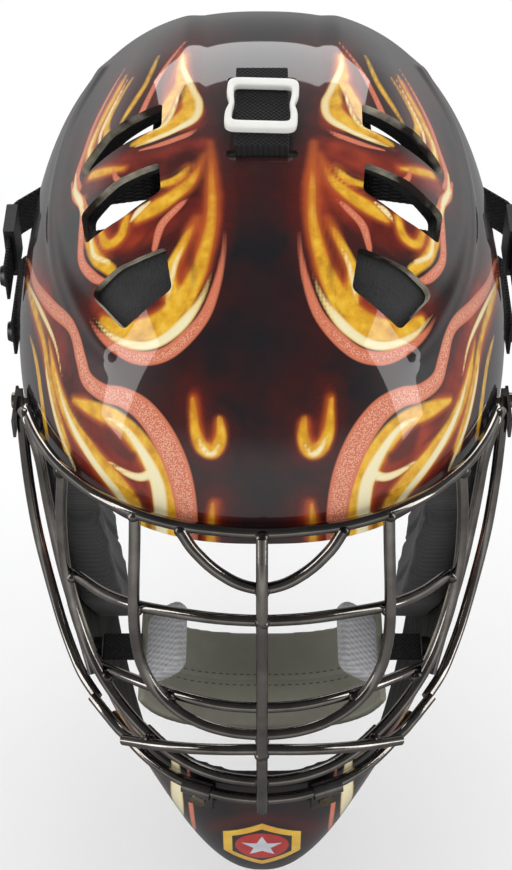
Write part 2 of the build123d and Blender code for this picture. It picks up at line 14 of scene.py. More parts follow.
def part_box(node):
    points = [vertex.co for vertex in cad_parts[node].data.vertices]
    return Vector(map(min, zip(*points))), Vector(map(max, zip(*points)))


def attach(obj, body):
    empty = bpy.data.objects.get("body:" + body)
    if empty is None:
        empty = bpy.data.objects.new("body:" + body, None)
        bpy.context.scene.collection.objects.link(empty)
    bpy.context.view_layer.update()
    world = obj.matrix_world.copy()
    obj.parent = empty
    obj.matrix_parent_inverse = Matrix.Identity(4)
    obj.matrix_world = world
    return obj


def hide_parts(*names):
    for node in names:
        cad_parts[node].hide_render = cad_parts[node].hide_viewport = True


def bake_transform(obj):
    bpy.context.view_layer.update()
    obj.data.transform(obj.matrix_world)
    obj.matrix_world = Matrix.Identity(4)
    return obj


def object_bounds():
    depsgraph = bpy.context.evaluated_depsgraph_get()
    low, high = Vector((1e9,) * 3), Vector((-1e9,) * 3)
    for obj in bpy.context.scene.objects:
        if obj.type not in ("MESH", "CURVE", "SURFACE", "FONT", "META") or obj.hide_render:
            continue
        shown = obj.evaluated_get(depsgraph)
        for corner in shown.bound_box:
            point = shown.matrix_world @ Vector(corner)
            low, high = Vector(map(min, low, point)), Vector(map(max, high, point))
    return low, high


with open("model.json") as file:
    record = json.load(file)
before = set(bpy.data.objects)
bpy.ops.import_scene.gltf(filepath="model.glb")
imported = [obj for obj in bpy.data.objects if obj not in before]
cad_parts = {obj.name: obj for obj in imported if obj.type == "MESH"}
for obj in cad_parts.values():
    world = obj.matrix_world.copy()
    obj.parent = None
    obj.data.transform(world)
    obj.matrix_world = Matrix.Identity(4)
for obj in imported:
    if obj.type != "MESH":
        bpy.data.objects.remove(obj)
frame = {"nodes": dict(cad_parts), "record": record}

CAD_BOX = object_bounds()
NODES = frame["nodes"]
RECORD = frame["record"]
MM = 0.001
HANDS = ((1, "left"), (-1, "right"))
random.seed(7)
np.random.seed(7)


# ---------------------------------------------------------------- shader helpers
class Shader:
    """Short way to write a node material."""

    def __init__(self, name):
        self.material = bpy.data.materials.new(name)
        self.material.use_nodes = True
        self.tree = self.material.node_tree
        self.surface = self.tree.nodes["Principled BSDF"]
        self.place = self.node("ShaderNodeTexCoord").outputs["Object"]

    def node(self, kind, **settings):
        made = self.tree.nodes.new(kind)
        for key, value in settings.items():
            setattr(made, key, value)
        return made

    def put(self, socket, value):
        """Link an output to a socket, or set the socket to a constant."""
        if isinstance(value, bpy.types.NodeSocket):
            self.tree.links.new(value, socket)
        else:
            socket.default_value = value

    def set(self, **values):
        for key, value in values.items():
            self.put(self.surface.inputs[key.replace("_", " ")], value)

    def noise(self, scale, detail=3.0, roughness=0.55, vector=None):
        made = self.node("ShaderNodeTexNoise")
        self.put(made.inputs["Vector"], vector or self.place)
        self.put(made.inputs["Scale"], scale)
        self.put(made.inputs["Detail"], detail)
        self.put(made.inputs["Roughness"], roughness)
        return made.outputs["Fac"]

    def cells(self, scale, vector=None, feature="F1"):
        made = self.node("ShaderNodeTexVoronoi", feature=feature)
        self.put(made.inputs["Vector"], vector or self.place)
        self.put(made.inputs["Scale"], scale)
        return made.outputs["Distance"]

    def math(self, operation, a, b=0.0, clamp=False):
        made = self.node("ShaderNodeMath", operation=operation, use_clamp=clamp)
        self.put(made.inputs[0], a)
        self.put(made.inputs[1], b)
        return made.outputs[0]

    def ramp(self, value, stops, mode="LINEAR"):
        made = self.node("ShaderNodeValToRGB")
        made.color_ramp.interpolation = mode
        while len(made.color_ramp.elements) < len(stops):
            made.color_ramp.elements.new(0.5)
        for element, (position, colour) in zip(made.color_ramp.elements, stops):
            element.position = position
            element.color = (*colour, 1.0)
        self.put(made.inputs["Fac"], value)
        return made.outputs["Color"]

    def step(self, value, low, high):
        """0 below low, 1 above high, straight between; low may be above high."""
        made = self.node("ShaderNodeMapRange", clamp=True)
        self.put(made.inputs["Value"], value)
        self.put(made.inputs["From Min"], low)
        self.put(made.inputs["From Max"], high)
        return made.outputs["Result"]

    def mix(self, factor, a, b, blend="MIX"):
        made = self.node("ShaderNodeMix", data_type="RGBA", blend_type=blend)
        self.put(made.inputs["Factor"], factor)
        for socket, value in ((made.inputs["A"], a), (made.inputs["B"], b)):
            self.put(socket, (*value, 1.0) if isinstance(value, tuple) else value)
        return made.outputs["Result"]

    def attribute(self, name):
        return self.node("ShaderNodeAttribute", attribute_name=name).outputs["Fac"]

    def axis(self, name, vector=None):
        made = self.node("ShaderNodeSeparateXYZ")
        self.put(made.inputs[0], vector or self.place)
        return made.outputs[name]

    def wave(self, value, period):
        """Sine of a length, from -1 to 1."""
        return self.math("SINE", self.math("MULTIPLY", value, 2 * math.pi / period))

    def bump(self, height, strength, distance=0.0005):
        made = self.node("ShaderNodeBump")
        self.put(made.inputs["Height"], height)
        self.put(made.inputs["Strength"], strength)
        self.put(made.inputs["Distance"], distance)
        self.put(self.surface.inputs["Normal"], made.outputs["Normal"])


def metal(name, colour, dark, roughness, streak=900.0):
    """Plated steel with fine drawing marks, smudges and darker worn patches."""
    s = Shader(name)
    smudge = s.noise(70.0, 4.0)
    grain = s.noise(streak, 2.0)
    s.set(
        Base_Color=s.mix(s.step(smudge, 0.35, 0.7), dark, colour),
        Metallic=1.0,
        Roughness=s.math("ADD", s.math("MULTIPLY", smudge, 0.10), roughness - 0.05),
    )
    s.bump(grain, 0.12, 0.0002)
    return s.material


def foam(name, colour, light, pore=900.0):
    """Matte closed-cell foam: fine pores and a dusty tone."""
    s = Shader(name)
    pores = s.cells(pore)
    dust = s.noise(45.0, 4.0)
    s.set(Base_Color=s.mix(s.step(dust, 0.3, 0.75), colour, light), Roughness=0.86)
    s.surface.inputs["Sheen Weight"].default_value = 0.15
    s.bump(s.math("ADD", pores, s.math("MULTIPLY", dust, 0.4)), 0.5, 0.0006)
    return s.material


def weave(name, colour, light, pitch, axes=("X", "Y"), strength=0.7, sheen=0.3, dust=0.25):
    """Basket weave along two axes, coloured lighter on the raised yarns and darker in the dips between them as painted
    highlight and painted shade, with random yarn-to-yarn variation and light dust.
    """
    s = Shader(name)
    across = s.wave(s.axis(axes[0]), pitch)
    along = s.wave(s.axis(axes[1]), pitch)
    height = s.math("MULTIPLY", across, along)
    fuzz = s.noise(1500.0, 2.0)
    worn = s.noise(60.0, 4.0)
    # Painted shade and highlight: the colour follows the weave's relief, darker in the dips and lighter on the raised
    # yarns, plus random yarn-to-yarn fuzz.
    tone = s.math("ADD", s.math("MULTIPLY", height, 0.28), s.math("MULTIPLY", fuzz, 0.6))
    woven = s.mix(s.step(tone, -0.1, 0.75), colour, light)
    s.set(Base_Color=s.mix(s.math("MULTIPLY", s.step(worn, 0.5, 0.8), dust), woven, light), Roughness=0.88)
    s.surface.inputs["Sheen Weight"].default_value = sheen
    s.bump(s.math("ADD", height, fuzz), strength, 0.0005)
    return s.material


def plastic(name, colour, worn, roughness, mottle=0.3):
    """Moulded plastic with a fine texture and scuffs."""
    s = Shader(name)
    patches = s.noise(90.0, 5.0)
    scuff = s.noise(700.0, 3.0)
    s.set(
        Base_Color=s.mix(s.math("MULTIPLY", s.step(patches, 0.45, 0.8), mottle), colour, worn),
        Roughness=s.math("ADD", s.math("MULTIPLY", scuff, 0.2), roughness - 0.08),
    )
    s.bump(scuff, 0.12, 0.0003)
    return s.material


# ---------------------------------------------------------------- mesh helpers
def new_mesh(name, vertices, faces, smooth=True):
    mesh = bpy.data.meshes.new(name)
    mesh.from_pydata([tuple(v) for v in vertices], [], faces)
    mesh.update()
    if smooth:
        mesh.polygons.foreach_set("use_smooth", [True] * len(mesh.polygons))
    piece = bpy.data.objects.new(name, mesh)
    bpy.context.scene.collection.objects.link(piece)
    return piece


def copy_of(node, name):
    """A new object with a CAD node's mesh, its seams between faces closed."""
    piece = bpy.data.objects.new(name, NODES[node].data.copy())
    bpy.context.scene.collection.objects.link(piece)
    work = bmesh.new()
    work.from_mesh(piece.data)
    bmesh.ops.remove_doubles(work, verts=work.verts, dist=1e-5)
    work.to_mesh(piece.data)
    work.free()
    return piece


def apply_modifier(piece, kind, **settings):
    modifier = piece.modifiers.new(kind.lower(), kind)
    for key, value in settings.items():
        setattr(modifier, key, value)
    bpy.context.view_layer.objects.active = piece
    with bpy.context.temp_override(object=piece, active_object=piece):
        bpy.ops.object.modifier_apply(modifier=modifier.name)


def paint(piece, material):
    piece.data.materials.clear()
    piece.data.materials.append(material)
    for polygon in piece.data.polygons:
        polygon.material_index = 0


def finish(piece, body, material, replaces=()):
    """Give a piece its material and the body that it rides on, and hide the CAD parts that it stands for."""
    if material is not None:
        paint(piece, material)
    if body:
        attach(piece, body)
    if replaces:
        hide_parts(*replaces)
    return piece


def joined(name, parts):
    """One object from several."""
    with bpy.context.temp_override(active_object=parts[0], selected_editable_objects=parts):
        bpy.ops.object.join()
    parts[0].name = name
    return parts[0]


def smooth_faces(piece, angle=40.0):
    """Smooth shading, with edges sharper than an angle kept sharp."""
    piece.data.polygons.foreach_set("use_smooth", [True] * len(piece.data.polygons))
    piece.data.set_sharp_from_angle(angle=math.radians(angle))


def nearest(points, others):
    """Distance from each point to the nearest of a few others."""
    best = np.full(len(points), np.inf)
    for other in others:
        best = np.minimum(best, np.linalg.norm(points - np.array(other), axis=1))
    return best


# ---------------------------------------------------------------- shell form
# The shell is a fan of arches about a level line behind the ears, in millimetres and degrees. Each
# row holds the arch's angle above the horizon, its reach forward, its half width and squareness.
FAN_Y, FAN_Z = 95.0, 130.0
ARCHES = [
    (-34, 262, 66, 2.2),
    (-26, 256, 80, 2.25),
    (-14, 240, 102, 2.3),
    (0, 223, 109, 2.35),
    (12, 217, 111, 2.5),
    (24, 217, 112.5, 2.6),
    (36, 219, 114, 2.65),
    (48, 212, 115, 2.65),
    (60, 199, 115, 2.6),
    (76, 184, 114.5, 2.55),
    (92, 176.5, 114, 2.5),
    (108, 174, 113, 2.5),
]
SHELL_THICKNESS = 3.5
LEG_TURN = 82.0
GRID_ROWS, GRID_COLUMNS = 300, 340


def arch_value(angle, column):
    """One column of ARCHES at any angle, on a smooth curve through the rows."""
    last = len(ARCHES) - 1
    row = next((i for i in range(last) if angle <= ARCHES[i + 1][0]), last - 1)

    def slope(i):
        low, high = max(i - 1, 0), min(i + 1, last)
        return (ARCHES[high][column] - ARCHES[low][column]) / (ARCHES[high][0] - ARCHES[low][0])

    span = ARCHES[row + 1][0] - ARCHES[row][0]
    s = (angle - ARCHES[row][0]) / span
    start, end = ARCHES[row][column], ARCHES[row + 1][column]
    return (
        (2 * s**3 - 3 * s**2 + 1) * start
        + (s**3 - 2 * s**2 + s) * span * slope(row)
        + (3 * s**2 - 2 * s**3) * end
        + (s**3 - s**2) * span * slope(row + 1)
    )


def shell_points(angle, turns, inset=0.0):
    """Points of one arch, in millimetres, for an array of turns across the mask."""
    squareness = arch_value(angle, 3)
    side, ahead = np.sin(np.radians(turns)), np.cos(np.radians(turns))
    size = (np.abs(side) ** squareness + np.abs(ahead) ** squareness) ** (-1 / squareness)
    x = (arch_value(angle, 2) - inset) * size * side
    reach = (arch_value(angle, 1) - inset) * size * ahead
    lean = math.radians(angle)
    return np.stack([x, FAN_Y - reach * math.cos(lean), FAN_Z + reach * math.sin(lean)], axis=-1)


def even_turns(count):
    """Turns whose points lie at even distances along a middle arch."""
    fine = np.linspace(-LEG_TURN, LEG_TURN, 2000)
    points = shell_points(36.0, fine)
    length = np.concatenate([[0], np.cumsum(np.linalg.norm(np.diff(points, axis=0), axis=1))])
    return np.interp(np.linspace(0, length[-1], count), length, fine)


def smooth_line(points, steps=8):
    """Catmull-Rom curve through rows of numbers."""
    rows = np.array(points, float)
    padded = np.vstack([2 * rows[0] - rows[1], rows, 2 * rows[-1] - rows[-2]])
    s = np.linspace(0, 1, steps, endpoint=False)[:, None]
    out = []
    for a, b, c, d in zip(padded, padded[1:], padded[2:], padded[3:]):
        out.append(0.5 * (2 * b + (c - a) * s + (2 * a - 5 * b + 4 * c - d) * s**2 + (3 * b - a - 3 * c + d) * s**3))
    return np.vstack([*out, rows[-1:]])


def stroke_distance(points, stroke):
    """Distance from points on the shell to a stroke of (turn, angle, half width), less that width."""
    line = smooth_line(stroke, 6)
    centres = np.array([shell_points(angle, np.array(turn)) for turn, angle, _ in line])
    widths = line[:, 2]
    best = np.full(len(points), 1e3)
    for a, b, wide_a, wide_b in zip(centres, centres[1:], widths, widths[1:]):
        run = b - a
        share = np.clip((points - a) @ run / max(run @ run, 1e-9), 0, 1)
        gap = np.linalg.norm(points - a - share[:, None] * run, axis=1)
        best = np.minimum(best, gap - (wide_a + (wide_b - wide_a) * share))
    return best


def strokes_distance(points, strokes):
    """Distance to the nearest of several strokes, the same on both sides of the mask."""
    folded = points * [1, 1, 1]
    folded[:, 0] = np.abs(folded[:, 0])
    best = np.full(len(points), 1e3)
    for stroke in strokes:
        best = np.minimum(best, stroke_distance(folded, stroke))
    return np.clip(best, -30, 60)


# ---------------------------------------------------------------- flames
# Brush strokes on the shell, for the left half and mirrored. Each row is (turn, angle, half width in
# millimetres). The base coat shows between them.
RED_STROKES = [
    [(58, -6, 5), (65, 6, 8), (69, 18, 9), (71, 30, 8), (74, 42, 3)],
    [(31, 48, 6), (22, 47, 9), (14, 51, 7), (11, 59, 6), (12, 69, 4)],
    [(34, 57, 4), (28, 56, 8), (20, 58, 9), (14, 62, 6)],
    [(37, 66, 5), (30, 67, 7), (22, 66, 8), (14, 68, 6)],
    [(15, 73, 6), (18, 81, 6), (17, 90, 2)],
    [(37, 72, 5), (35, 79, 5), (31, 87, 2)],
    [(64, 64, 3), (56, 56, 8), (47, 47, 11), (43, 41, 12), (39, 34, 14), (32, 30, 14), (26, 29, 12), (21, 26, 10), (20, 20, 9)],
    [(13, 38, 1), (12, 34, 3), (10, 32.5, 4), (8.5, 34.5, 2)],
    [(9, 26, 2), (10, 23, 4), (14, 21, 6), (18, 20, 6)],
    [(52, 0, 3), (42, -6, 7), (33, -13, 5), (31, -22, 4), (34, -30, 3)],
    [(0, -16.5, -2), (8, -18, -2), (15, -21, -3)],
]
YELLOW_STROKES = [
    [(54, -9, 0.4), (61, 0, 2.4), (67, 12, 3.8), (70, 24, 3.4), (73, 38, 0.4)],
    [(64, -5, 0.4), (70, 5, 2.4), (74, 15, 2.6), (77, 27, 0.4)],
    [(31, 45.5, 1.5), (26, 44.3, 3.5), (20, 44.8, 4.8), (16, 46.8, 4.2), (13, 50, 3.2), (11, 54, 2.4), (10, 58, 1.8), (10.2, 64, 1.1), (10.6, 69, 0.2)],
    [(17.2, 47.5, 2.4), (17.6, 51, 1.9), (15.5, 54, 1.5), (12.8, 57.5, 0.3)],
    [(17, 88.5, 0.8), (17, 83, 2.4), (15.4, 79, 3.4), (14.6, 75.5, 3.8), (18, 72.5, 3.8), (23, 71.2, 3.0), (26.5, 70.6, 1.2)],
    [(21.5, 73.5, 2.2), (19.6, 77, 2.2), (17.6, 81.5, 1.0)],
    [(36.6, 69.8, 1.8), (36.8, 74, 1.8), (34.8, 79, 1.4), (31.8, 84.5, 0.9), (29.6, 89, 0.2)],
    [(32.5, 74.5, 1.6), (33, 78, 1.3), (30.5, 83, 0.8), (28, 87, 0.2)],
    [(24.5, 57.8, 1.0), (21, 59.2, 2.8), (17.5, 60.6, 2.3), (14, 63, 1.4), (11.6, 67, 0.3)],
    [(37.5, 63.5, 1.2), (35.4, 60, 1.6), (34.8, 56.5, 2.2), (33, 53.6, 2.4), (29.5, 51.6, 2.2)],
    [(33, 59, 0.5), (31, 55.3, 1.5), (28, 55.8, 1.7), (26.8, 58.5, 1.0)],
    [(45, 43, 0.6), (42.4, 37, 2.6), (39, 33, 3.8), (34, 29.5, 4), (28, 26, 4.6), (23.5, 22.5, 4.4)],
    [(38, 35.8, 0.6), (33, 35.2, 3.0), (28, 34.4, 3.6), (23.5, 32.0, 4.4), (20, 28.6, 4.8), (18.8, 25, 4.3), (18.8, 20, 4)],
    [(13.4, 37.2, 0.3), (13, 34, 1.5), (11.6, 32.2, 2.3), (9.5, 31.8, 2.3), (8, 33.2, 1.7), (8.2, 35.4, 0.3)],
    [(9.8, 26, 0.2), (10.2, 23.5, 1.0), (10.4, 20, 1.5)],
    [(58, 57, 0.4), (52, 50, 1.8), (47, 44, 2.4), (45.5, 39.5, 1.8), (44, 35, 2.6), (41, 29, 3.0)],
    [(53, 44, 0.3), (50, 40, 1.8), (48.5, 35, 2.2), (47.5, 29, 2.4)],
    [(14.5, 65, 0.3), (17, 63, 1.5), (20.5, 62.4, 1.2), (23, 61.8, 0.3)],
    [(22.5, 90.5, 0.2), (24.6, 84, 1.0), (27.4, 79.5, 1.2), (29.5, 76.5, 0.5)],
    [(28, 66.5, 0.3), (32, 67.2, 1.5), (35.5, 67.8, 1.6)],
    [(22, 52.2, 0.3), (24.5, 51, 1.1), (27, 50.4, 0.3)],
    [(50, -3, 0.4), (42, -8, 1.8), (35, -14, 2.4), (33, -22, 2.0), (36, -29, 0.8)],
]
SALMON_STROKES = [
    [(52, -5, 0.3), (59, 7, 1.5), (63, 19, 2.4), (65.5, 31, 2.2), (69, 42, 1.2), (73, 52, 0.2)],
    [(35.5, 47.6, 0.2), (31.6, 44, 1.5), (26.5, 41.9, 2.4), (22, 41.3, 2.6), (17, 42.3, 2.6), (11.6, 45.5, 2.4), (9, 49, 2.1), (7.6, 53, 1.6), (7.4, 57, 1.1), (8, 62.5, 0.2)],
    [(64, 68, 0.2), (57, 60.5, 1.1), (51, 53, 2.2), (44, 48, 2.9), (38, 45, 3.1), (36, 41, 3.1), (34.6, 38.6, 3.3), (31, 37.3, 3.4), (27, 37, 3.9), (23, 35.8, 4.6), (19.5, 33.4, 5.0), (17, 30.4, 5.0), (15.6, 27.4, 4.6), (15, 24, 4.2), (15, 19, 3.8)],
    [(41, 69, 0.4), (39.4, 65.6, 2.2), (37, 62.4, 2.1), (36.9, 58, 1.6), (36.3, 53.6, 1.8), (33, 50.9, 1.9), (29.6, 50, 0.5)],
    [(38.2, 66.4, 0.8), (39.6, 69.5, 1.9), (38, 75, 1.4), (36.4, 80, 1.1), (33.4, 86, 0.8), (30, 92, 0.1)],
    [(25.5, 75.8, 1.5), (23.6, 80.4, 1.2), (21, 86, 0.9), (16.5, 93, 0.2)],
    [(9.2, 85, 0.1), (10.4, 79.6, 0.9), (12.0, 76, 1.1), (12.6, 72.6, 1.0), (15.4, 70.4, 1.2), (20, 69.3, 1.2), (25, 69, 0.3)],
    [(30.5, 67.6, 0.1), (29.6, 65.2, 1.1), (27.2, 63.8, 0.8)],
    [(14, 60.6, 0.2), (17, 58.6, 1.3), (19.7, 56.6, 1.6), (20.9, 53.6, 1.0)],
    [(17.5, -11, 0.4), (18, -14, 0.9), (19, -18, 1.1), (21, -23, 1.2), (25, -30, 0.8)],
]
CREAM_STROKES = [
    [(58, -4, 0.3), (64, 7, 1.2), (68.5, 17, 1.6), (71, 27, 1.0), (73, 36, 0.2)],
    [(33.8, 46.6, 0.2), (29.6, 43.9, 1.1), (24.5, 42.7, 1.6), (20, 43.0, 1.9), (15.6, 44.8, 2.1), (12, 47.6, 1.8), (9.9, 50.8, 1.2), (8.8, 55, 0.2)],
    [(18.2, 47.2, 0.3), (17.6, 49.4, 1.0), (16.6, 52, 0.9), (14.4, 55, 0.2)],
    [(17.4, 90.5, 0.1), (16.8, 85, 1.2), (14.6, 80, 1.7), (13.2, 77, 2.1), (13.8, 73.8, 2.0), (17.4, 71.6, 1.5), (22, 70.5, 1.3), (26, 70, 0.3)],
    [(43, 39, 0.2), (40.6, 34.6, 1.4), (37.4, 31.2, 2.0), (33, 28, 2.0), (28, 25, 1.6), (24, 21.5, 0.8)],
    [(31, 34.6, 0.2), (27, 33.7, 1.3), (23.5, 31.3, 2.1), (21, 28.4, 2.9), (20.2, 25.4, 3.0), (20.2, 20, 2.4)],
    [(31, 29.4, 0.2), (27, 28.4, 1.3), (24, 28.2, 1.7), (21.4, 29, 1.8)],
    [(35.4, 60, 0.3), (34.4, 56.6, 0.9), (33.4, 54, 1.1), (30, 52.6, 0.9)],
    [(40.4, 67, 0.5), (38.6, 64.6, 1.5), (36.8, 61.5, 0.5)],
    [(36.4, 70.5, 0.7), (36.8, 74.5, 0.9), (34.8, 79.5, 0.3)],
    [(11.4, 57, 0.2), (11.2, 61, 0.8), (12.2, 65.5, 0.9), (12.4, 69.5, 0.2)],
    [(40, 70.5, 0.3), (39.6, 66.6, 1.2), (37.8, 63.6, 1.4), (36.9, 60.6, 0.6)],
    [(23.5, 71.8, 0.4), (20, 73, 1.0), (18.2, 76, 0.8), (17.2, 80, 0.2)],
    [(34, 72, 0.3), (34.4, 76, 0.9), (32, 81.5, 0.8), (29, 87.5, 0.1)],
    [(46.5, 41, 0.2), (45.4, 37, 1.2), (43, 31.5, 1.4), (39, 26.5, 1.0)],
    [(12.6, 33.4, 0.3), (11.2, 31.9, 1.1), (9.6, 31.5, 1.0), (8.4, 32.6, 0.3)],
    [(26, 57.6, 0.3), (24.4, 59, 1.4), (22, 60.2, 0.3)],
    [(23, 47.5, 0.4), (22, 49.5, 1.2), (20, 51, 0.3)],
    [(56, 55, 0.3), (48, 48, 1.2), (43, 43, 0.9), (41, 38.5, 0.2)],
    [(21, -8, 0.8), (20.8, -12, 2.2), (22, -16, 3.2), (24.5, -21, 3.8), (29, -28, 3.0)],
]
DARK_STROKES = [
    [(20, 82, 0.3), (19.5, 84.5, 1.0), (18.5, 87.5, 0.2)],
    [(27, 52.8, 0.5), (24, 54.2, 1.6), (21.5, 56.5, 0.6)],
    [(16.5, 44.9, 0.3), (15, 46, 1.0), (14, 47.6, 0.3)],
    [(50, 49, 0.5), (46, 44, 2.0), (44.5, 40, 1.2)],
    [(29, 47.5, 0.6), (26.5, 46.2, 2.2), (24.5, 47, 0.6)],
    [(14.6, 47.5, 0.4), (13.2, 50, 1.8), (14, 53, 2.2), (12.2, 56.5, 1.0)],
    [(30.5, 58, 0.6), (29, 57, 2.0), (29, 59, 0.8)],
    [(31, 33.5, 0.8), (29, 31.6, 3.4), (26, 30.4, 2.6), (24.6, 31, 0.8)],
    [(26, 25.6, 0.4), (24, 26, 2.6), (23, 24, 2.4), (22.6, 21.5, 1.2)],
    [(41, 36.5, 0.4), (37.4, 33.6, 1.6), (34, 31.8, 1.2), (31.5, 31.2, 0.4)],
    [(18.5, 76, 0.6), (17, 78, 1.7), (16.4, 81, 0.5)],
    [(10.8, 35, 0.6), (10.6, 33.6, 1.2), (10.4, 33, 0.6)],
]
# The moulded lines of the form: the groove round each group of vents and the crest's shoulders.
GROOVE_STROKES = [[(37, 98, 1), (44, 88, 1), (46.5, 76, 1), (46, 64, 1), (43, 55, 1), (39, 49, 1), (34, 44.5, 1), (30, 42, 0.2)]]
GROOVE_DEPTH, GROOVE_REACH = 1.6, 4.5
CREST_X, CREST_FADE, CREST_RISE = 30.0, 5.0, 1.6


def crest_rise(points):
    """How far the crest stands up from the fan's form at the crown."""
    up = np.clip((points[:, 2] - 262) / 30, 0, 1)
    inside = np.clip((CREST_X + CREST_FADE - np.abs(points[:, 0])) / (2 * CREST_FADE), 0, 1)
    soft = inside**2 * (3 - 2 * inside)
    return CREST_RISE * soft * up**2 * (3 - 2 * up)


# ---------------------------------------------------------------- outlines, in the side view (Y, Z)
CHIN_EDGE = [(-134, -6), (-124, 20), (-110, 33), (-88, 45), (-40, 68), (10, 92), (40, 110)]
REAR_EDGE = [(52, 124), (64, 155), (84, 200), (108, 250), (133, 300), (140, 314)]
FACE_TOP = [(-170, 209), (-107, 209), (-62, 206), (-38, 203)]
FACE_SIDE = [(-26, 190), (-27, 172), (-33, 152), (-46, 128), (-64, 108), (-88, 94), (-110, 87)]
FACE_FRONT = [(-125, 86), (-170, 86)]
FAR = 400.0
VENT_LEAN = 33.0
VENTS = [
    {
        "at": (57, 46, 295),
        "pitch": 0.0,
        "corners": [(-17, 11), (-17, -5), (0, -7), (24, -11), (24, -2), (10, 8)],
    },
    {
        "at": (57, 8, 291),
        "pitch": 12.0,
        "corners": [(-18, 11), (-18, -5), (0, -11), (20, -13), (22, 5), (2, 11)],
    },
    {
        "at": (52, -34, 283),
        "pitch": 28.0,
        "corners": [(-17, 9), (-16, -10), (8, -18), (19, 2), (18, 5), (5, 9)],
    },
]
VENT_CORNER = 2.5
VENT_DEPTH = 40.0
SLOT_YS = (68.0, 20.0)
SLOT_LENGTH, SLOT_WIDTH = 29.0, 4.5
CROWN_Z = 300.0
LACE_HOLE_X, LACE_HOLE_Z, LACE_HOLE_RADIUS = 14.0, 24.0, 2.75


def prism(name, outline, low, high, place=Matrix.Identity(4)):
    """Closed prism in metres over a flat outline in millimetres, between two heights."""
    count = len(outline)
    points = [place @ Vector((x, y, h)) * MM for h in (low, high) for x, y in outline]
    sides = [(i, (i + 1) % count, (i + 1) % count + count, i + count) for i in range(count)]
    piece = new_mesh(name, points, [tuple(reversed(range(count))), tuple(range(count, 2 * count)), *sides], False)
    work = bmesh.new()
    work.from_mesh(piece.data)
    bmesh.ops.recalc_face_normals(work, faces=work.faces)
    bmesh.ops.triangulate(work, faces=work.faces)
    work.to_mesh(piece.data)
    work.free()
    return piece


def rounded(corners, radius, steps=5):
    """Outline with each corner cut to a curve."""
    out = []
    for before, at, after in zip(corners[-1:] + corners[:-1], corners, corners[1:] + corners[:1]):
        at = Vector(at)
        start = at + (Vector(before) - at).normalized() * radius
        end = at + (Vector(after) - at).normalized() * radius
        out += [tuple(start.lerp(at, s).lerp(at.lerp(end, s), s)) for s in np.linspace(0, 1, steps)]
    return out


SIDEWAYS = Matrix(((0, 0, 1, 0), (1, 0, 0, 0), (0, 1, 0, 0), (0, 0, 0, 1)))


def vent_place(vent, hand):
    """Matrix of a vent's plane, square to the shell."""
    lean, pitch = math.radians(VENT_LEAN), math.radians(vent["pitch"])
    across = Vector((hand * math.cos(lean), 0, -math.sin(lean)))
    out = Vector((hand * math.sin(lean) * math.cos(pitch), -math.sin(pitch), math.cos(lean) * math.cos(pitch)))
    x, y, z = vent["at"]
    turn = Matrix((across, out.cross(across), out)).transposed().to_4x4()
    return Matrix.Translation((hand * x, y, z)) @ turn


def shell_cutters():
    """Solids to take away from the shell, and the one to keep within."""
    lower = [tuple(p) for p in smooth_line(CHIN_EDGE)]
    rear = [tuple(p) for p in smooth_line(REAR_EDGE)]
    frame_line = lower + rear + [(140, FAR), (-FAR, FAR), (-FAR, -6)]
    keep = prism("keep", frame_line, -FAR, FAR, SIDEWAYS)
    side = [tuple(p) for p in smooth_line(FACE_SIDE)]
    cuts = [prism("face", FACE_TOP + side + FACE_FRONT, -FAR, FAR, SIDEWAYS)]
    for hand, _ in HANDS:
        for vent in VENTS:
            corners = [(x, hand * y) for x, y in vent["corners"]]
            outline = rounded(corners, VENT_CORNER)
            cuts.append(prism("vent", outline, -VENT_DEPTH, VENT_DEPTH, vent_place(vent, hand)))
        hole = [
            (hand * LACE_HOLE_X + LACE_HOLE_RADIUS * math.cos(a), LACE_HOLE_Z + LACE_HOLE_RADIUS * math.sin(a))
            for a in np.linspace(0, 2 * math.pi, 24, endpoint=False)
        ]
        cuts.append(prism("lace", hole, 100, 200, Matrix(((1, 0, 0, 0), (0, 0, -1, 0), (0, 1, 0, 0), (0, 0, 0, 1)))))
    for slot_y in SLOT_YS:
        half_x, half_y = SLOT_LENGTH / 2, SLOT_WIDTH / 2
        corners = [(-half_x, slot_y - half_y), (half_x, slot_y - half_y), (half_x, slot_y + half_y), (-half_x, slot_y + half_y)]
        cuts.append(prism("slot", rounded(corners, 1.5), CROWN_Z - VENT_DEPTH, CROWN_Z + VENT_DEPTH))
    return keep, cuts


def fan_surface(inset):
    """Grid of points on the fan, as rows by angle."""
    turns = even_turns(GRID_COLUMNS)
    angles = np.linspace(ARCHES[0][0], ARCHES[-1][0], GRID_ROWS)
    return np.array([shell_points(angle, turns, inset) for angle in angles])


